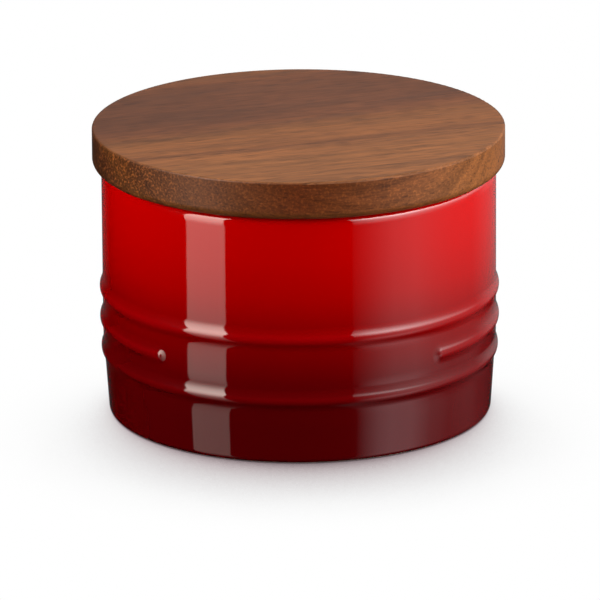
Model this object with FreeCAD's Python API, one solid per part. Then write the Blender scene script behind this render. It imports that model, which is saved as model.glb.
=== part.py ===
import FreeCAD, Part
import math
import os

# Storage jar: a ribbed stoneware pot with a push-in wooden lid and a soft seal ring.
# Millimetres, axis on Z, foot standing on z = 0, the bare front panel facing -Y.

# Pot: outside
jar_diameter = 110.0  # upright upper wall
jar_height = 70.8  # foot to rim
foot_diameter = 107.0  # where the leaning lower wall meets the ground
foot_edge = 1.4  # rounding between lower wall and foot
shoulder_drop = 2.75  # below the rim, where the wall starts to lean in
shoulder_in = 0.44  # how far it leans in by the rim
shoulder_round = 7.0
rim_outer_edge = 2.1
rim_inner_edge = 1.3

# Pot: inside and underside
wall = 4.7
floor_thickness = 6.0
inner_corner = 9.0  # rounding between inside wall and floor
foot_ring_width = 5.0  # flat bare-clay ring that the pot stands on
foot_recess = 1.2  # depth of the hollow inside the foot ring
foot_ring_edge = 0.4  # softening of the ring's inner edge

# Pot: ribs
rib_count = 3
rib_top = 35.85  # crest height of the highest rib
rib_pitch = 8.8
rib_proud = 0.83
rib_crest = 2.7  # radius over the crest
rib_root_over = 6.0  # radius of the hollow sweep from a full rib up to the wall
rib_root_under = 4.8  # the same downwards, and all round the rib that stops
panel_angle = 90.0  # the middle rib stops for this angle across the front

# Lid
lid_diameter = 115.0
lid_thickness = 10.9  # flange, from rim to top
lid_top_edge = 0.6
lid_under_edge = 2.3
plug_depth = 10.5  # below the flange
plug_gap = 2.3  # between the plug and the pot's bore
plug_edge = 1.2
groove_width = 4.6
groove_depth = 2.0
groove_drop = 3.2  # from the flange's underside to the groove

# Seal ring
seal_play = 0.05  # between ring and groove, all round
seal_cover = 0.4  # how far the ring's band stands out of the groove
lip_count = 2  # evenly spaced up the band
lip_thickness = 0.7
lip_rise = 0.8  # the lips slope up towards the bore
lip_gap = 0.2  # between the lips' tips and the bore
lip_tip = 0.25  # rounding of the lips' tips

# Sizes that follow
outer_r = jar_diameter / 2
bore_r = outer_r - wall
foot_r = foot_diameter / 2
lid_r = lid_diameter / 2
inner_floor = foot_recess + floor_thickness
rib_heights = [rib_top - count * rib_pitch for count in range(rib_count)]
taper_top = rib_heights[-1] + rib_pitch / 2  # the wall leans in below the valley over the lowest rib
lean = (outer_r - foot_r) / taper_top
plug_r = bore_r - plug_gap
plug_bottom = jar_height - plug_depth
groove_r = plug_r - groove_depth
groove_top = jar_height - groove_drop
groove_bottom = groove_top - groove_width
root_limit = ((rib_pitch / 2) ** 2 + rib_proud ** 2) / (2 * rib_proud) - rib_crest
root_over = min(rib_root_over, 0.9 * root_limit)  # neighbouring ribs' sweeps stay apart
root_under = min(rib_root_under, 0.9 * root_limit)
middle_rib = rib_count // 2  # the one that stops

centre = FreeCAD.Vector(0, 0, 0)
up = FreeCAD.Vector(0, 0, 1)


def point(r, z):
    return FreeCAD.Vector(r, 0, z)


def line(start, end):
    return Part.LineSegment(start, end).toShape()


def corner_path(corners):
    # Straight runs through (radius, height, rounding) corners, with an arc at each rounded one.
    edges = []
    last = point(*corners[0][:2])
    for before, here, after in zip(corners, corners[1:], corners[2:]):
        tip = point(*here[:2])
        rounding = here[2]
        if not rounding:
            edges.append(line(last, tip))
            last = tip
            continue
        back = (point(*before[:2]) - tip).normalize()
        ahead = (point(*after[:2]) - tip).normalize()
        half = back.getAngle(ahead) / 2
        start = tip + back * (rounding / math.tan(half))
        end = tip + ahead * (rounding / math.tan(half))
        middle = tip + (back + ahead).normalize() * (rounding / math.sin(half) - rounding)
        edges.append(line(last, start))
        edges.append(Part.Arc(start, middle, end).toShape())
        last = end
    edges.append(line(last, point(*corners[-1][:2])))
    return edges


def turned(corners):
    # A solid of revolution; the outline closes from its last corner back to its first.
    outline = Part.Wire(corner_path(corners + corners[:1]))
    return Part.Face(outline).revolve(centre, up, 360)


def wall_r(z):
    # Radius of the plain outside wall at a height, without ribs
    return outer_r - max(taper_top - z, 0) * lean


def pot_blank():
    ring_inner = foot_r - foot_edge - foot_ring_width
    return turned([
        (0, foot_recess, 0),
        (ring_inner - foot_recess, foot_recess, 0),
        (ring_inner, 0, foot_ring_edge),
        (foot_r, 0, foot_edge),
        (outer_r, taper_top, 0),
        (outer_r, jar_height - shoulder_drop, shoulder_round),
        (outer_r - shoulder_in, jar_height, rim_outer_edge),
        (bore_r, jar_height, rim_inner_edge),
        (bore_r, taper_top, 0),
        (wall_r(inner_floor) - wall, inner_floor, inner_corner),
        (0, inner_floor, 0),
    ])


def rib(height, gap_angle):
    # A round bar bent round the pot, sunk until only its crest is proud.
    # A rib that stops for a gap at the front has ball ends.
    ring_r = wall_r(height) + rib_proud - rib_crest
    first = gap_angle / 2 - 90
    across = FreeCAD.Vector(0, 1, 0)
    section = Part.Wire([Part.makeCircle(rib_crest, point(ring_r, height), across)])
    section.rotate(point(ring_r, height), across, 180)
    section.rotate(centre, up, first)
    bar = Part.Face(section).revolve(centre, up, 360 - gap_angle)
    if gap_angle:
        for angle in (math.radians(first), math.radians(first - gap_angle)):
            end = FreeCAD.Vector(ring_r * math.cos(angle), ring_r * math.sin(angle), height)
            bar = bar.fuse(Part.makeSphere(rib_crest, end))
    return bar


def root_radius(edge):
    # Sweep for a line where a rib meets the wall, 0 for any other edge and for the wall's straight seam
    middle = edge.valueAt((edge.FirstParameter + edge.LastParameter) / 2)
    on_wall = abs(math.hypot(middle.x, middle.y) - wall_r(middle.z)) < edge.Tolerance + 0.001
    if not on_wall or isinstance(edge.Curve, Part.Line):
        return 0
    for count, height in enumerate(rib_heights):
        if abs(middle.z - height) < rib_crest:
            return root_over if middle.z > height and count != middle_rib else root_under
    return 0


def stoneware_jar():
    pot = pot_blank()
    for count, height in enumerate(rib_heights):
        pot = pot.fuse(rib(height, panel_angle if count == middle_rib else 0))
    for radius in sorted({root_over, root_under}):
        roots = [edge for edge in pot.Edges if root_radius(edge) == radius]
        pot = pot.makeFillet(radius, roots)
    return pot.Solids[0]


def wooden_lid():
    top = jar_height + lid_thickness
    return turned([
        (0, plug_bottom, 0),
        (plug_r, plug_bottom, plug_edge),
        (plug_r, groove_bottom, 0),
        (groove_r, groove_bottom, 0),
        (groove_r, groove_top, 0),
        (plug_r, groove_top, 0),
        (plug_r, jar_height, 0),
        (lid_r, jar_height, lid_under_edge),
        (lid_r, top, lid_top_edge),
        (0, top, 0),
    ])


def silicone_seal():
    inner = groove_r + seal_play
    band = plug_r + seal_cover
    tip = bore_r - lip_gap
    low = groove_bottom + seal_play
    high = groove_top - seal_play
    corners = [(inner, low, 0), (band, low, 0)]
    spacing = (high - low - lip_rise) / lip_count
    for count in range(lip_count):
        under = low + (count + 0.5) * spacing - lip_thickness / 2
        over = under + lip_thickness
        corners += [(band, under, 0), (tip, under + lip_rise, lip_tip)]
        corners += [(tip, over + lip_rise, lip_tip), (band, over, 0)]
    corners += [(band, high, 0), (inner, high, 0)]
    return turned(corners)


os.makedirs("parts", exist_ok=True)
for make in (stoneware_jar, wooden_lid, silicone_seal):
    shape = make()
    print(make.__name__, len(shape.Solids), shape.isValid(), round(shape.Volume, 1))
    shape.exportStep("parts/" + make.__name__ + ".step")
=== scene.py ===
import math

import bpy
from mathutils import Matrix, Vector


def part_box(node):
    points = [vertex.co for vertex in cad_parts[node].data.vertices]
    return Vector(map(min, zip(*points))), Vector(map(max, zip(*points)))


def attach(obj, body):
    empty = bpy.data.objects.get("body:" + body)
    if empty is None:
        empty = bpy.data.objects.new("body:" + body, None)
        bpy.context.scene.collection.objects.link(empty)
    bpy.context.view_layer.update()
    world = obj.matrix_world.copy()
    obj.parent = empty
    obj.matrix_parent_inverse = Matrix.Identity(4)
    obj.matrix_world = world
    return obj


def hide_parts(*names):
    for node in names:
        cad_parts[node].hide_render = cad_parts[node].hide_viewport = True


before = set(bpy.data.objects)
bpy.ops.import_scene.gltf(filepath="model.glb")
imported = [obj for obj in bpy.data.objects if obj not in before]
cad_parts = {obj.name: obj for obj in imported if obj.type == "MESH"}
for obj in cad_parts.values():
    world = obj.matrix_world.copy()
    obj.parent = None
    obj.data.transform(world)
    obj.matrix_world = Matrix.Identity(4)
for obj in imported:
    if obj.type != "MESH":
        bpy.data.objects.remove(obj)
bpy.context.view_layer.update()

print("frame:", ", ".join(sorted(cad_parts)))

mm = 0.001  # the scene is in metres, sizes below are in millimetres
jarNode, lidNode, sealNode = "stoneware_jar", "wooden_lid", "silicone_seal"
noiseLow, noiseHigh = 0.3, 0.7  # most of a noise texture's values lie between these


def toLinear(colour):
    # sRGB hex to the linear values that shaders take
    parts = [int(colour[i:i + 2], 16) / 255 for i in (0, 2, 4)]
    return [c / 12.92 if c <= 0.04045 else ((c + 0.055) / 1.055) ** 2.4 for c in parts] + [1.0]


def perMetre(*sizes):
    # texture scale that makes a pattern's features about these many millimetres wide
    scales = [1 / (size * mm) for size in sizes]
    return scales[0] if len(scales) == 1 else scales


def add(tree, kind, inputs=None, stops=None, **settings):
    # one node: its settings, its ramp's stops as colours or levels, then its input values or links
    made = tree.nodes.new(kind)
    for name, value in settings.items():
        setattr(made, name, value)
    if stops:
        ramp = made.color_ramp
        while len(ramp.elements) < len(stops):
            ramp.elements.new(1.0)
        for element, (place, shade) in zip(ramp.elements, stops):
            element.position = place
            element.color = toLinear(shade) if isinstance(shade, str) else [shade] * 3 + [1.0]
    for key, value in (inputs or {}).items():
        if isinstance(value, bpy.types.NodeSocket):
            tree.links.new(value, made.inputs[key])
        else:
            made.inputs[key].default_value = value
    return made.outputs


def shadesOver(tree, distance, shades):
    # the colour or level at a distance, from a list of millimetres and shades
    first, last = shades[0][0], shades[-1][0]
    place = add(tree, "ShaderNodeMapRange", {0: distance, 1: first * mm, 2: last * mm})[0]
    stops = [((size - first) / (last - first), shade) for size, shade in shades]
    return add(tree, "ShaderNodeValToRGB", {0: place}, stops=stops)[0]


def newMaterial(name):
    # an empty node tree, ready for its shader
    material = bpy.data.materials.new(name)
    material.use_nodes = True
    material.node_tree.nodes.clear()
    return material, material.node_tree


def newObject(name, data):
    # a new object at the origin, in the scene
    made = bpy.data.objects.new(name, data)
    bpy.context.scene.collection.objects.link(made)
    return made


# Pot: the CAD pot's own profile turned again as even quads, because a glossy glaze shows every facet.
# All in mm; the height and the width over the ribs come from the frame.
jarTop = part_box(jarNode)[1]
potShape = {
    "height": jarTop.z / mm,
    "overRibs": jarTop.x / mm,  # radius
    "wall": 4.7,
    "floor": 6.0,
    "insideCorner": 9.0,
    "shoulder": (2.75, 0.44, 7.0),  # starts this far under the rim, leans in this far, rounding
    "rimOutside": 2.1,
    "rimInside": 1.3,
    "footLean": 1.5,  # how far the lower wall leans in
    "footEdge": 1.4,
    "footRing": 5.0,
    "footRecess": 1.2,
    "ringEdge": 0.4,
    "ribCount": 3,
    "ribTop": 35.85,  # crest height of the highest
    "ribPitch": 8.8,
    "ribProud": 0.83,
    "ribCrest": 2.7,
    "ribRoots": (6.0, 4.8),  # above a full rib; below it, and all round the one that stops
    "panelAngle": 90.0,  # the middle rib stops for this many degrees at the front
    "arcPace": 0.25,  # spacing of the rows round an edge
    "ribPace": 0.2,
    "ribReach": 4.0,  # rows are that close together this far from a rib's middle line
    "wallPace": 1.5,
    "hold": 0.4,  # rows this far from a straight run's ends keep its shading flat
    "turnStep": 1.5,  # degrees between columns
    "endStep": 0.2,  # degrees between columns where the middle rib stops
    "endReach": 4.0,
    "crease": 32,  # degrees: sharper edges stay sharp
}
potShape["wallRadius"] = potShape["overRibs"] - potShape["ribProud"]


def outline(corners, look):
    # (radius, height, rounding) corners to points, with an arc at each rounded one
    runs, last = [], Vector(corners[0][:2])
    for before, here, after in zip(corners, corners[1:], corners[2:]):
        tip, rounding = Vector(here[:2]), here[2]
        back = (Vector(before[:2]) - tip).normalized()
        ahead = (Vector(after[:2]) - tip).normalized()
        half = back.angle(ahead) / 2
        start, end = tip + back * rounding / math.tan(half), tip + ahead * rounding / math.tan(half)
        arc = [tip]
        if rounding:
            centre = tip + (back + ahead).normalized() * rounding / math.sin(half)
            first, final = (start - centre).normalized(), (end - centre).normalized()
            steps = max(1, math.ceil(rounding * (math.pi - 2 * half) / look["arcPace"]))
            arc = [centre + first.slerp(final, n / steps) * rounding for n in range(steps + 1)]
        runs.append((last, start, arc))
        last = end
    finish = Vector(corners[-1][:2])
    runs.append((last, finish, [finish]))
    points = [Vector(corners[0][:2])]
    for start, end, arc in runs:
        length = (end - start).length
        if length > 3 * look["hold"]:
            points += [start.lerp(end, look["hold"] / length), end.lerp(start, look["hold"] / length)]
        points += arc
    return points


def ribLift(distance, root, look):
    # how far a rib stands out of the wall, this far from its middle line
    crest, proud = look["ribCrest"], look["ribProud"]
    reach = math.sqrt((crest + root) ** 2 - (crest + root - proud) ** 2)
    turn = reach * crest / (crest + root)  # crest arc inside this, root arc outside
    if distance >= reach:
        return 0.0
    if distance > turn:
        return root - math.sqrt(root ** 2 - (reach - distance) ** 2)
    return proud - crest + math.sqrt(crest ** 2 - distance ** 2)


def ribsAt(height, angle, look):
    # lift of whichever rib is near; past its ends the middle rib rounds off
    total = 0.0
    for count in range(look["ribCount"]):
        away = height - look["ribTop"] + count * look["ribPitch"]
        past, stops = 0.0, count == look["ribCount"] // 2
        if stops:
            past = max(0.0, look["panelAngle"] / 2 - abs(angle)) * math.radians(look["wallRadius"])
        root = look["ribRoots"][0 if away > 0 and not stops else 1]
        total += ribLift(math.hypot(away, past), root, look)
    return total


def potRows(look):
    # (radius, height, ribbed) from the middle of the underside, up the wall, over the rim and down inside
    height, wallRadius = look["height"], look["wallRadius"]
    footRadius, bore = wallRadius - look["footLean"], wallRadius - look["wall"]
    ribHeights = [look["ribTop"] - count * look["ribPitch"] for count in range(look["ribCount"])]
    leanTop = ribHeights[-1] + look["ribPitch"] / 2
    floorTop = look["footRecess"] + look["floor"]
    ringInner = footRadius - look["footEdge"] - look["footRing"]
    insideFoot = bore - look["footLean"] * (1 - floorTop / leanTop)
    under = outline([
        (0, look["footRecess"], 0),
        (ringInner - look["footRecess"], look["footRecess"], 0),
        (ringInner, 0, look["ringEdge"]),
        (footRadius, 0, look["footEdge"]),
        (wallRadius, leanTop, 0)], look)[:-2]
    drop, leanIn, rounding = look["shoulder"]
    over = outline([
        (wallRadius, leanTop, 0),
        (wallRadius, height - drop, rounding),
        (wallRadius - leanIn, height, look["rimOutside"]),
        (bore, height, look["rimInside"]),
        (bore, leanTop, 0),
        (insideFoot, floorTop, look["insideCorner"]),
        (0, floorTop, 0)], look)[2:]

    # up the wall the rows are close together over the ribs
    rows = [(p.x, p.y, False) for p in under]
    z, last = under[-1].y, over[0].y
    while z < last - look["wallPace"]:
        nearRib = any(abs(z - ribHeight) < look["ribReach"] for ribHeight in ribHeights)
        z += look["ribPace"] if nearRib else look["wallPace"]
        held = min(z, last - look["hold"])
        rows.append((wallRadius - look["footLean"] * max(0, 1 - held / leanTop), held, True))
    return rows + [(p.x, p.y, False) for p in over]


def potColumns(look):
    # degrees from the front, closer together where the middle rib stops
    angles = {round(n * look["turnStep"] - 180, 3) for n in range(int(360 / look["turnStep"]))}
    ends = int(look["endReach"] / look["endStep"])
    for side in (-1, 1):
        for n in range(-ends, ends):
            angles.add(round(side * (look["panelAngle"] / 2 + n * look["endStep"]), 3))
    return sorted(angles)


def turnPot(look):
    rows, angles = potRows(look), potColumns(look)
    verts, faces = [], []
    for r, z, ribbed in rows[1:-1]:
        for angle in angles:
            reach = (r + (ribsAt(z, angle, look) if ribbed else 0.0)) * mm
            turn = math.radians(angle)
            verts.append((reach * math.sin(turn), -reach * math.cos(turn), z * mm))
    count = len(angles)
    lastRow = len(verts) - count
    for row in range(0, lastRow, count):
        for n in range(count):
            a, b = row + n, row + (n + 1) % count
            faces.append((a, b, b + count, a + count))
    bottom, top = len(verts), len(verts) + 1  # the two middles, each the hub of a fan
    verts += [(0, 0, rows[0][1] * mm), (0, 0, rows[-1][1] * mm)]
    for n in range(count):
        after = (n + 1) % count
        faces.append((bottom, after, n))
        faces.append((top, lastRow + n, lastRow + after))
    mesh = bpy.data.meshes.new("glazed_pot")
    mesh.from_pydata(verts, [], faces)
    mesh.shade_smooth()
    mesh.set_sharp_from_angle(angle=math.radians(look["crease"]))
    return newObject("glazed_pot", mesh)


# Glaze: a glossy red ceramic glaze, sprayed over fired stoneware so that it runs from bright red at the
# rim to near-black red at the foot. It reads as thin coloured glass: sharp reflections, deep colour,
# lighter where it breaks over the ribs, and none at all on the foot ring.
glaze = {
    "shades": [  # height above the foot in mm, colour
        (2, "500103"), (10, "510103"), (14, "540103"), (19, "5b0103"), (24, "600002"), (32, "7a0001"),
        (40, "8f0001"), (48, "ab0000"), (58, "bc0000"), (68, "c60000"),
    ],
    "drift": (26, 1.2),  # mm: patch size, and how far the shades wander up and down
    "breakRadius": (55.2, 55.85),  # mm from the axis: over the rib crests the coat is thinner
    "breakColour": "b4000a",
    "breakShare": 0.2,
    "roughness": (0.03, 0.06),
    "ior": 1.52,
    "peel": (9.0, 0.008),  # mm: width and height of the fired surface's slow waves
    "insideColour": "e9dfcb",  # cream liner glaze
    "insideRadius": (52.35, 52.05),  # mm: the two glazes meet on the rim, between these
    "insideFrom": 3.0,  # mm: lower down it is the foot's underside
    "clayShades": [(0.3, "8f7a66"), (0.6, "b9a189")],  # noise value, colour
    "clayTop": (0.4, 0.2),  # mm: the foot ring is wiped bare up to here
    "clayRoughness": 0.85,
    "grit": 0.6,  # mm
}


def redGlaze(look):
    material, tree = newMaterial("red_glaze_on_stoneware")
    spot = add(tree, "ShaderNodeTexCoord")["Object"]
    up = add(tree, "ShaderNodeSeparateXYZ", {0: spot})["Z"]
    flat = add(tree, "ShaderNodeVectorMath", {0: spot, 1: (1, 1, 0)}, operation="MULTIPLY")[0]
    radius = add(tree, "ShaderNodeVectorMath", {0: flat}, operation="LENGTH")["Value"]

    # the shades drift a little up and down round the pot, as sprayed glaze does
    patchSize, driftBy = look["drift"]
    patches = add(tree, "ShaderNodeTexNoise",
                  {"Vector": spot, "Scale": perMetre(patchSize), "Detail": 2.0})[0]
    drift = add(tree, "ShaderNodeMath", {0: patches, 1: 0.5}, operation="SUBTRACT")[0]
    height = add(tree, "ShaderNodeMath", {0: drift, 1: 2 * driftBy * mm, 2: up}, operation="MULTIPLY_ADD")[0]
    shade = shadesOver(tree, height, look["shades"])

    # thin over the rib crests
    low, high = look["breakRadius"]
    crest = add(tree, "ShaderNodeMapRange",
                {0: radius, 1: low * mm, 2: high * mm, 3: 0.0, 4: look["breakShare"]},
                interpolation_type="SMOOTHSTEP")[0]
    coat = add(tree, "ShaderNodeMix", {0: crest, 6: shade, 7: toLinear(look["breakColour"])},
               data_type="RGBA")[2]

    # cream liner from the middle of the rim inwards
    outer, inner = look["insideRadius"]
    inside = add(tree, "ShaderNodeMapRange", {0: radius, 1: outer * mm, 2: inner * mm})[0]
    aboveFoot = add(tree, "ShaderNodeMath", {0: up, 1: look["insideFrom"] * mm}, operation="GREATER_THAN")[0]
    liner = add(tree, "ShaderNodeMath", {0: inside, 1: aboveFoot}, operation="MULTIPLY")[0]
    lined = add(tree, "ShaderNodeMix", {0: liner, 6: coat, 7: toLinear(look["insideColour"])},
                data_type="RGBA")[2]

    # bare clay on the foot ring, with fine grit
    grit = add(tree, "ShaderNodeTexNoise",
               {"Vector": spot, "Scale": perMetre(look["grit"]), "Detail": 3.0})[0]
    clay = add(tree, "ShaderNodeValToRGB", {0: grit}, stops=look["clayShades"])[0]
    glazed, wiped = look["clayTop"]
    bare = add(tree, "ShaderNodeMapRange", {0: up, 1: glazed * mm, 2: wiped * mm})[0]
    colour = add(tree, "ShaderNodeMix", {0: bare, 6: lined, 7: clay}, data_type="RGBA")[2]

    smooth, dull = look["roughness"]
    polish = add(tree, "ShaderNodeMapRange", {0: patches, 3: smooth, 4: dull})[0]
    roughness = add(tree, "ShaderNodeMix", {0: bare, 2: polish, 3: look["clayRoughness"]})[0]

    waveSize, waveHeight = look["peel"]
    waves = add(tree, "ShaderNodeTexNoise",
                {"Vector": spot, "Scale": perMetre(waveSize), "Detail": 1.0})[0]
    relief = add(tree, "ShaderNodeMix", {0: bare, 2: waves, 3: grit})[0]
    bump = add(tree, "ShaderNodeBump",
               {"Height": relief, "Distance": waveHeight * mm, "Strength": 1.0})[0]

    shader = add(tree, "ShaderNodeBsdfPrincipled",
                 {"Base Color": colour, "Roughness": roughness, "IOR": look["ior"], "Normal": bump})[0]
    add(tree, "ShaderNodeOutputMaterial", {0: shader})
    return material


pot = turnPot(potShape)
pot.data.materials.append(redGlaze(glaze))
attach(pot, "jar")
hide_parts(jarNode)
print("pot turned and glazed:", len(pot.data.polygons), "faces")


# Lid wood: a dark hardwood board like walnut, flat sawn, turned, sanded and oiled. Growth rings make soft
# streaks across the top and arcs on the end grain, and open pores show as short dashes along the grain and
# as dots across it. The flat faces carry a painted sheen that makes them greyer, the turned edge a painted
# shade that makes it darker, and the edge's open cells carry painted glints.
lidWood = {
    "grainAngle": 19.0,  # degrees that the grain is turned from +X, seen from above
    "heart": (29.0, 21.0),  # mm: the tree's middle, across the grain from the axis and above the foot
    "bands": [  # mm from the tree's middle, colour: these make the top lighter towards the front and darker towards the back
        (50, "6d3b1b"), (57, "68391a"), (60, "65371a"), (64, "713d1b"), (68, "7d471c"), (72, "864c1e"),
        (75, "864c1e"), (76.5, "74411b"), (78.5, "874d1f"), (86, "884f20"), (106, "864d1f"),
    ],
    "wander": (80, 30, 3.0),  # mm: length and width of the drift in the bands, and how far it goes
    "streaks": (60, 1.8),  # mm: length along the grain, width across the rings
    "streakShare": 0.18,  # lighter and darker by this much
    "fibres": (9.0, 0.5),  # mm: length and width, coarsened from 0.02 so that they show
    "fibreShare": 0.26,
    "pores": (7.0, 0.8),  # mm: length and spacing, coarsened from 0.3 so that they show
    "poreEdge": (0.42, 0.2),  # share of the spacing where a pore begins, and where it is full
    "poresEmpty": 0.4,  # share of places without one
    "poreShare": (0.32, 0.45),  # darker by this along the grain, and on the end grain
    "poreDepth": 0.03,  # mm
    "endGrainPower": 3.0,  # only faces turned well across the grain count as end grain
    "paintedFaceSheen": (0.92, 1.02, 1.55, 1.0),  # red, green, blue: painted sheen, the flat faces made greyer and bluer than the edge
    "paintedEdgeShade": [  # painted shade on the turned edge: mm along the grain, share of the board's colour, darkest towards the left
        (-58, "e6dfd8"), (-54, "d2cdc7"), (-35, "c6b8b0"), (-19, "c4a29b"), (30, "ffffff"),
    ],
    "paintedGlintSize": 0.65,  # mm: the edge's open cells that carry painted glints, coarsened from 0.2 so that they show
    "paintedGlintTones": [(0.5, -0.45), (0.68, 1.6)],  # noise value, tone against the mean: dark ground, bright cell as a painted glint
    "paintedGlintShares": [(-54, 0.85), (-44, 0.3), (10, 0.25), (45, 0.05)],  # mm along the grain, contrast: the painted glints are strongest at the left end
    "roughness": (0.4, 0.48),
    "sheen": 0.25,  # an oiled surface shines less than a lacquered one
    "ior": 1.5,
}


def ringDistance(tree, board, look):
    # how far from the tree's middle, drifting along the grain
    heartAcross, heartUp = look["heart"]
    heart = (0, heartAcross * mm, heartUp * mm)
    fromHeart = add(tree, "ShaderNodeVectorMath", {0: board, 1: heart}, operation="SUBTRACT")[0]
    square = add(tree, "ShaderNodeVectorMath", {0: fromHeart, 1: (0, 1, 1)}, operation="MULTIPLY")[0]
    ring = add(tree, "ShaderNodeVectorMath", {0: square}, operation="LENGTH")["Value"]
    long, wide, reach = look["wander"]
    slow = add(tree, "ShaderNodeVectorMath", {0: board, 1: perMetre(long, wide, wide)},
               operation="MULTIPLY")[0]
    wander = add(tree, "ShaderNodeTexNoise", {"Vector": slow, "Scale": 1.0, "Detail": 3.0})[0]
    offset = add(tree, "ShaderNodeMath", {0: wander, 1: 0.5}, operation="SUBTRACT")[0]
    return add(tree, "ShaderNodeMath", {0: offset, 1: 2 * reach * mm, 2: ring}, operation="MULTIPLY_ADD")[0]


def ringStreaks(tree, along, ring, look):
    # long streaks that follow the rings
    long, wide = look["streaks"]
    alongScaled = add(tree, "ShaderNodeMath", {0: along, 1: perMetre(long)}, operation="MULTIPLY")[0]
    ringScaled = add(tree, "ShaderNodeMath", {0: ring, 1: perMetre(wide)}, operation="MULTIPLY")[0]
    lines = add(tree, "ShaderNodeCombineXYZ", {0: alongScaled, 1: ringScaled})[0]
    return add(tree, "ShaderNodeTexNoise", {"Vector": lines, "Scale": 1.0, "Detail": 4.0},
               noise_dimensions="2D")[0]


def fineFibres(tree, board, look):
    long, wide = look["fibres"]
    thin = add(tree, "ShaderNodeVectorMath", {0: board, 1: perMetre(long, wide, wide)},
               operation="MULTIPLY")[0]
    return add(tree, "ShaderNodeTexNoise", {"Vector": thin, "Scale": 1.0, "Detail": 2.0})[0]


def openPores(tree, board, endGrain, look):
    # long thin cells, some of them empty, darker on the end grain
    long, wide = look["pores"]
    cells = add(tree, "ShaderNodeVectorMath", {0: board, 1: perMetre(long, wide, wide)},
                operation="MULTIPLY")[0]
    cell = add(tree, "ShaderNodeTexVoronoi", {"Vector": cells, "Scale": 1.0})
    begins, full = look["poreEdge"]
    hole = add(tree, "ShaderNodeMapRange", {0: cell["Distance"], 1: begins, 2: full})[0]
    chance = add(tree, "ShaderNodeSeparateColor", {0: cell["Color"]})[0]
    kept = add(tree, "ShaderNodeMath", {0: chance, 1: look["poresEmpty"]}, operation="GREATER_THAN")[0]
    pore = add(tree, "ShaderNodeMath", {0: hole, 1: kept}, operation="MULTIPLY")[0]
    alongShare, endShare = look["poreShare"]
    depth = add(tree, "ShaderNodeMapRange", {0: endGrain, 3: alongShare, 4: endShare})[0]
    darkened = add(tree, "ShaderNodeMath", {0: pore, 1: depth}, operation="MULTIPLY")[0]
    return add(tree, "ShaderNodeMath", {0: 1.0, 1: darkened}, operation="SUBTRACT")[0]


def paintedEdgeGlints(tree, board, along, sideways, look):
    # painted glints: open cells on the edge, painted brighter than the ground between them, and coarser at
    # one end
    speck = add(tree, "ShaderNodeTexNoise",
                {"Vector": board, "Scale": perMetre(look["paintedGlintSize"]), "Detail": 2.0})[0]
    (low, ground), (high, bright) = look["paintedGlintTones"]
    swing = add(tree, "ShaderNodeMapRange", {0: speck, 1: low, 2: high, 3: ground, 4: bright})[0]
    contrast = shadesOver(tree, along, look["paintedGlintShares"])
    paintedGlint = add(tree, "ShaderNodeMath", {0: swing, 1: contrast}, operation="MULTIPLY")[0]
    return add(tree, "ShaderNodeMath", {0: paintedGlint, 1: sideways, 2: 1.0}, operation="MULTIPLY_ADD")[0]


def oiledWood(look):
    material, tree = newMaterial("oiled_dark_hardwood")
    spot = add(tree, "ShaderNodeTexCoord")["Object"]
    turn = math.radians(look["grainAngle"])
    board = add(tree, "ShaderNodeMapping", {"Vector": spot, "Rotation": (0, 0, -turn)})[0]
    along = add(tree, "ShaderNodeSeparateXYZ", {0: board})["X"]

    # how much of a face is end grain, and how much faces sideways
    normal = add(tree, "ShaderNodeNewGeometry")["Normal"]
    grain = (math.cos(turn), math.sin(turn), 0)
    facing = add(tree, "ShaderNodeVectorMath", {0: normal, 1: grain}, operation="DOT_PRODUCT")["Value"]
    towards = add(tree, "ShaderNodeMath", {0: facing}, operation="ABSOLUTE")[0]
    endGrain = add(tree, "ShaderNodeMath", {0: towards, 1: look["endGrainPower"]}, operation="POWER")[0]
    rise = add(tree, "ShaderNodeSeparateXYZ", {0: normal})["Z"]
    upward = add(tree, "ShaderNodeMath", {0: rise}, operation="ABSOLUTE")[0]
    sideways = add(tree, "ShaderNodeMath", {0: 1.0, 1: upward}, operation="SUBTRACT")[0]

    # the rings' own colour, then everything that makes it lighter or darker
    ring = ringDistance(tree, board, look)
    streak = ringStreaks(tree, along, ring, look)
    tones = []
    for noise, share in ((streak, look["streakShare"]), (fineFibres(tree, board, look), look["fibreShare"])):
        tones.append(add(tree, "ShaderNodeMapRange",
                         {0: noise, 1: noiseLow, 2: noiseHigh, 3: 1 - share, 4: 1 + share})[0])
    pores = openPores(tree, board, endGrain, look)
    # painted light: the flat faces get a greyer painted sheen, the turned edge a painted shade, darkest
    # towards the left
    edge = shadesOver(tree, along, look["paintedEdgeShade"])
    side = add(tree, "ShaderNodeMix", {0: sideways, 6: look["paintedFaceSheen"], 7: edge}, data_type="RGBA")[2]
    tones += [pores, side, paintedEdgeGlints(tree, board, along, sideways, look)]
    colour = shadesOver(tree, ring, look["bands"])
    for tone in tones:
        colour = add(tree, "ShaderNodeMix", {0: 1.0, 6: colour, 7: tone},
                     data_type="RGBA", blend_type="MULTIPLY")[2]

    sleek, dull = look["roughness"]
    roughness = add(tree, "ShaderNodeMapRange",
                    {0: streak, 1: noiseLow, 2: noiseHigh, 3: sleek, 4: dull})[0]
    bump = add(tree, "ShaderNodeBump",
               {"Height": pores, "Distance": look["poreDepth"] * mm, "Strength": 1.0})[0]
    shader = add(tree, "ShaderNodeBsdfPrincipled", {
        "Base Color": colour, "Roughness": roughness, "IOR": look["ior"], "Normal": bump,
        "Specular IOR Level": look["sheen"]})[0]
    add(tree, "ShaderNodeOutputMaterial", {0: shader})
    return material


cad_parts[lidNode].material_slots[0].material = oiledWood(lidWood)
print("lid oiled")


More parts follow.
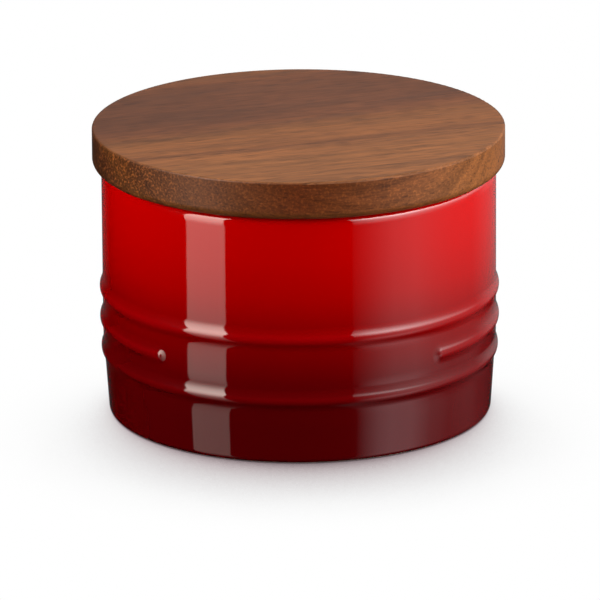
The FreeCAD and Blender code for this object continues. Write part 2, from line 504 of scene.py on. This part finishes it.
# Seal: translucent white silicone rubber, moulded. Soft-edged light goes a little way in, and the skin is
# dull with fine dust.
seal = {
    "shades": [(0.4, "dedbd2"), (0.75, "c9c5ba")],  # noise value, colour: clean, dusty
    "dust": (0.8, 0.01),  # mm: width and height of its specks
    "roughness": (0.42, 0.6),
    "ior": 1.41,
    "glow": 0.25,
    "glowReach": 1.5,  # mm
}


def mouldedSilicone(look):
    material, tree = newMaterial("moulded_silicone")
    spot = add(tree, "ShaderNodeTexCoord")["Object"]
    size, height = look["dust"]
    dust = add(tree, "ShaderNodeTexNoise", {"Vector": spot, "Scale": perMetre(size), "Detail": 4.0})[0]
    colour = add(tree, "ShaderNodeValToRGB", {0: dust}, stops=look["shades"])[0]
    sleek, dull = look["roughness"]
    roughness = add(tree, "ShaderNodeMapRange", {0: dust, 3: sleek, 4: dull})[0]
    bump = add(tree, "ShaderNodeBump", {"Height": dust, "Distance": height * mm, "Strength": 1.0})[0]
    shader = add(tree, "ShaderNodeBsdfPrincipled", {
        "Base Color": colour, "Roughness": roughness, "IOR": look["ior"], "Normal": bump,
        "Subsurface Weight": look["glow"], "Subsurface Scale": look["glowReach"] * mm})[0]
    add(tree, "ShaderNodeOutputMaterial", {0: shader})
    return material


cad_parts[sealNode].material_slots[0].material = mouldedSilicone(seal)
print("seal moulded")


# Studio: a glowing white sheet with a painted contact shadow where the jar hides the space above and
# behind it, a soft dome for the matt surfaces, and tall softboxes that only the gloss sees. Angles are
# degrees to the right of the camera, seen from the jar, and heights are metres from the floor.
studio = {
    "floorSize": 6.0,  # metres
    "floorLean": 40,  # degrees behind upright: the painted contact shadow looks this way for what the jar hides
    "floorReach": 70,  # mm that the painted shadow reaches
    "paintedFloorShadow": [  # painted shadow: share of the space above and behind left open, colour, reddened near the glaze as painted red light
        (0.0, "000000"), (0.258, "726468"), (0.366, "aa9b9e"), (0.418, "c2b5b8"), (0.491, "d2cccc"),
        (0.561, "dfdcdd"), (0.626, "ecebeb"), (0.677, "f5f5f5"), (0.737, "fbfbfb"), (0.85, "ffffff"),
    ],
    "sky": 1.14,  # overhead, falling to what the floor throws back at the horizon and under it
    "below": 0.03,
    "glows": [  # angle, elevation, how tight, level
        (82.7, 21, 5.3, 7.1),
        (-72, 19, 24, 14.0),
        (180, 55, 6.0, 1.2),
    ],
    "boxes": {  # metres from the axis, then (angle, level) across and (height, level) up
        "left_strip": {  # the bright streak on the left
            "away": 1.2,
            "tint": "fff0e5",
            "across": [(-67.5, 1.0), (-42.8, 1.0)],
            "up": [(-1.95, 0.02), (-1.24, 0.09), (-0.86, 0.5), (-0.63, 0.95), (-0.48, 1.3), (-0.32, 2.0),
                   (-0.125, 3.9), (0.08, 7.0), (0.28, 8.6), (0.5, 9.75), (0.81, 11.1), (1.31, 12.6)],
        },
        "right_scrim": {  # the broad veil on the right of the wall
            "away": 1.22,
            "tint": "ffffff",
            "across": [(30.3, 0.07), (40, 0.34), (56, 0.91), (70, 1.0), (84, 0.7), (100, 0.45),
                       (118, 0.28), (134, 0.0)],
            "up": [(-0.75, 0.0), (-0.52, 0.1), (-0.42, 0.5), (-0.32, 0.7), (-0.125, 0.74), (0.08, 1.0),
                   (0.3, 1.0), (0.6, 2.6), (1.2, 2.6)],
        },
        "right_back": {  # its far end, dark at the bottom
            "away": 1.25,
            "tint": "ffffff",
            "across": [(118, 0.0), (134, 0.3), (150, 0.29), (160, 0.27), (172, 0.0)],
            "up": [(-0.5, 0.0), (-0.385, 0.05), (-0.35, 0.7), (-0.3, 0.74), (-0.2, 1.2), (-0.05, 1.6),
                   (1.0, 1.6)],
        },
        "right_low": {  # its lower half, tinged with the jar's own red: the veil on the foot
            "away": 1.24,
            "tint": "ffe0e3",
            "across": [(33.5, 0.0), (37, 0.2), (40, 0.38), (48, 0.82), (56, 1.0), (70, 0.88), (84, 0.3),
                       (100, 0.09), (140, 0.07), (160, 0.0)],
            "up": [(-4.0, 0.13), (-1.95, 0.15), (-1.24, 0.26), (-0.86, 0.93), (-0.63, 1.36),
                   (-0.48, 1.15), (-0.36, 0.15), (-0.3, 0.0)],
        },
        "right_head": {  # a lamp head close by: the lines of light on the ribs and the rim
            "away": 0.22,
            "tint": "ffffff",
            "across": [(27, 0.3), (38, 0.8), (53, 1.0), (78, 0.7), (98, 0.5), (120, 0.2), (130, 0.0)],
            "up": [(0.042, 0.0), (0.057, 0.4), (0.071, 1.8), (0.085, 3.0), (0.1, 3.8), (0.136, 8.0),
                   (0.16, 13.0), (0.21, 10.0), (0.28, 3.0), (0.35, 0.0)],
        },
        "back_sheet": {  # behind the jar, for its outer edges
            "away": 1.26,
            "tint": "ffffff",
            "across": [(150, 0.0), (160, 0.1), (172, 0.78), (180, 0.7), (194, 0.27), (202, 0.2),
                       (207, 0.09), (212, 0.04), (216, 0.0)],
            "up": [(-0.8, 0.02), (-0.5, 0.04), (-0.32, 0.21), (0.08, 0.48), (1.3, 0.48)],
        },
    },
    "boxSteps": 48,  # flat facets that a softbox is bent from
}


def paintedShadowSheet(look):
    # painted shadow: the sheet glows white, darkened and reddened by how much of the space above and behind
    # it the jar hides
    half = look["floorSize"] / 2
    corners = [(-half, -half, 0), (half, -half, 0), (half, half, 0), (-half, half, 0)]
    mesh = bpy.data.meshes.new("studio_floor")
    mesh.from_pydata(corners, [], [(0, 1, 2, 3)])
    floor = newObject("studio_floor", mesh)
    floor.visible_glossy = False
    floor.visible_diffuse = False
    material, tree = newMaterial("glowing_sheet_painted_shadow")
    lean = math.radians(look["floorLean"])
    aim = add(tree, "ShaderNodeCombineXYZ", {1: math.sin(lean), 2: math.cos(lean)})[0]
    through = add(tree, "ShaderNodeAmbientOcclusion",
                  {"Distance": look["floorReach"] * mm, "Normal": aim})["AO"]
    # painted contact shadow: the sheet's glow is darker and redder where the jar hides more
    shade = add(tree, "ShaderNodeValToRGB", {0: through}, stops=look["paintedFloorShadow"])[0]
    light = add(tree, "ShaderNodeEmission", {"Color": shade})[0]
    clear = add(tree, "ShaderNodeBsdfTransparent")[0]  # from below, so that the foot can be looked at
    under = add(tree, "ShaderNodeNewGeometry")["Backfacing"]
    shader = add(tree, "ShaderNodeMixShader", {0: under, 1: light, 2: clear})[0]
    add(tree, "ShaderNodeOutputMaterial", {0: shader})
    mesh.materials.append(material)


def curvedSheet(name, distance, angles, heights, steps):
    # an upright sheet bent round the jar, marked out evenly across and up
    start, end = angles
    verts, faces, spots = [], [], []
    for count in range(steps + 1):
        angle = math.radians(start + (end - start) * count / steps)
        for up, z in enumerate(heights):
            verts.append((distance * math.sin(angle), -distance * math.cos(angle), z))
            spots.append((count / steps, up))
    for count in range(steps):
        faces.append((2 * count, 2 * count + 2, 2 * count + 3, 2 * count + 1))
    mesh = bpy.data.meshes.new(name)
    mesh.from_pydata(verts, [], faces)
    layer = mesh.uv_layers.new(name="sheet")
    for loop in mesh.loops:
        layer.data[loop.index].uv = spots[loop.vertex_index]
    return newObject(name, mesh)


def softbox(name, light, steps):
    # a tall sheet, brighter or dimmer across and up, for the gloss alone; light from behind passes through
    angles, heights = [(levels[0][0], levels[-1][0]) for levels in (light["across"], light["up"])]
    box = curvedSheet(name, light["away"], angles, heights, steps)
    box.visible_camera = False
    box.visible_diffuse = False
    box.visible_shadow = False
    material, tree = newMaterial(name + "_light")
    box.data.materials.append(material)
    spot = add(tree, "ShaderNodeSeparateXYZ", {0: add(tree, "ShaderNodeTexCoord")["UV"]})
    shares = []
    for axis, levels, (start, end) in (("X", light["across"], angles), ("Y", light["up"], heights)):
        stops = [((place - start) / (end - start), level) for place, level in levels]
        shares.append(add(tree, "ShaderNodeValToRGB", {0: spot[axis]}, stops=stops)[0])
    level = add(tree, "ShaderNodeMath", {0: shares[0], 1: shares[1]}, operation="MULTIPLY")[0]
    shine = add(tree, "ShaderNodeEmission", {"Color": toLinear(light["tint"]), "Strength": level})[0]
    clear = add(tree, "ShaderNodeBsdfTransparent")[0]
    both = add(tree, "ShaderNodeAddShader", {0: shine, 1: clear})[0]
    add(tree, "ShaderNodeOutputMaterial", {0: both})
    return box


def softDome(look):
    # white to the camera, soft light for matt surfaces, nothing for the gloss
    world = bpy.data.worlds.new("studio_dome")
    bpy.context.scene.world = world
    world.cycles.sampling_method = "NONE"  # the matt surfaces' own rays find it
    world.use_nodes = True
    tree = world.node_tree
    tree.nodes.clear()
    way = add(tree, "ShaderNodeTexCoord")["Generated"]
    up = add(tree, "ShaderNodeSeparateXYZ", {0: way})["Z"]
    level = add(tree, "ShaderNodeMapRange", {0: up, 3: look["below"], 4: look["sky"]})[0]
    for angle, rise, tightness, strength in look["glows"]:
        turn, lift = math.radians(angle), math.radians(rise)
        aim = (math.sin(turn) * math.cos(lift), -math.cos(turn) * math.cos(lift), math.sin(lift))
        facing = add(tree, "ShaderNodeVectorMath", {0: way, 1: aim}, operation="DOT_PRODUCT")["Value"]
        front = add(tree, "ShaderNodeMath", {0: facing, 1: 0.0}, operation="MAXIMUM")[0]
        glow = add(tree, "ShaderNodeMath", {0: front, 1: tightness}, operation="POWER")[0]
        level = add(tree, "ShaderNodeMath", {0: glow, 1: strength, 2: level}, operation="MULTIPLY_ADD")[0]
    path = add(tree, "ShaderNodeLightPath")
    matt = add(tree, "ShaderNodeMath", {0: level, 1: path["Is Diffuse Ray"]}, operation="MULTIPLY")[0]
    seen = add(tree, "ShaderNodeMath", {0: matt, 1: path["Is Camera Ray"]}, operation="ADD")[0]
    light = add(tree, "ShaderNodeBackground", {"Strength": seen})[0]
    add(tree, "ShaderNodeOutputWorld", {0: light})


paintedShadowSheet(studio)
boxes = {name: softbox(name, light, studio["boxSteps"]) for name, light in studio["boxes"].items()}
potAlone = bpy.data.collections.new("pot_alone")  # the near head is kept off the lid, where it would glare
potAlone.objects.link(pot)
boxes["right_head"].light_linking.receiver_collection = potAlone
softDome(studio)
print("studio lit:", len(boxes), "softboxes")


# Camera: a long lens a little above the jar, with the slight roll that the photograph has.
shot = {
    "target": (0.14, 0.0, 30.57),  # mm
    "distance": 2300,  # mm
    "elevation": 17.235,  # degrees
    "roll": -0.361,  # degrees
    "lens": 493.0,
    "sensor": 36.0,
    "clip": (0.1, 20),  # metres
}


def takeShot(look):
    data = bpy.data.cameras.new("product_camera")
    data.lens, data.sensor_width = look["lens"], look["sensor"]
    data.clip_start, data.clip_end = look["clip"]
    camera = newObject("product_camera", data)
    rise = math.radians(look["elevation"])
    back = Vector((0, -math.cos(rise), math.sin(rise)))
    stand = (Vector(look["target"]) + back * look["distance"]) * mm
    aim = (-back).to_track_quat("-Z", "Y").to_matrix().to_4x4()
    roll = Matrix.Rotation(math.radians(look["roll"]), 4, "Z")
    camera.matrix_world = Matrix.Translation(stand) @ aim @ roll
    bpy.context.scene.camera = camera


takeShot(shot)
bpy.context.scene.view_settings.view_transform = "Standard"
print("camera set")
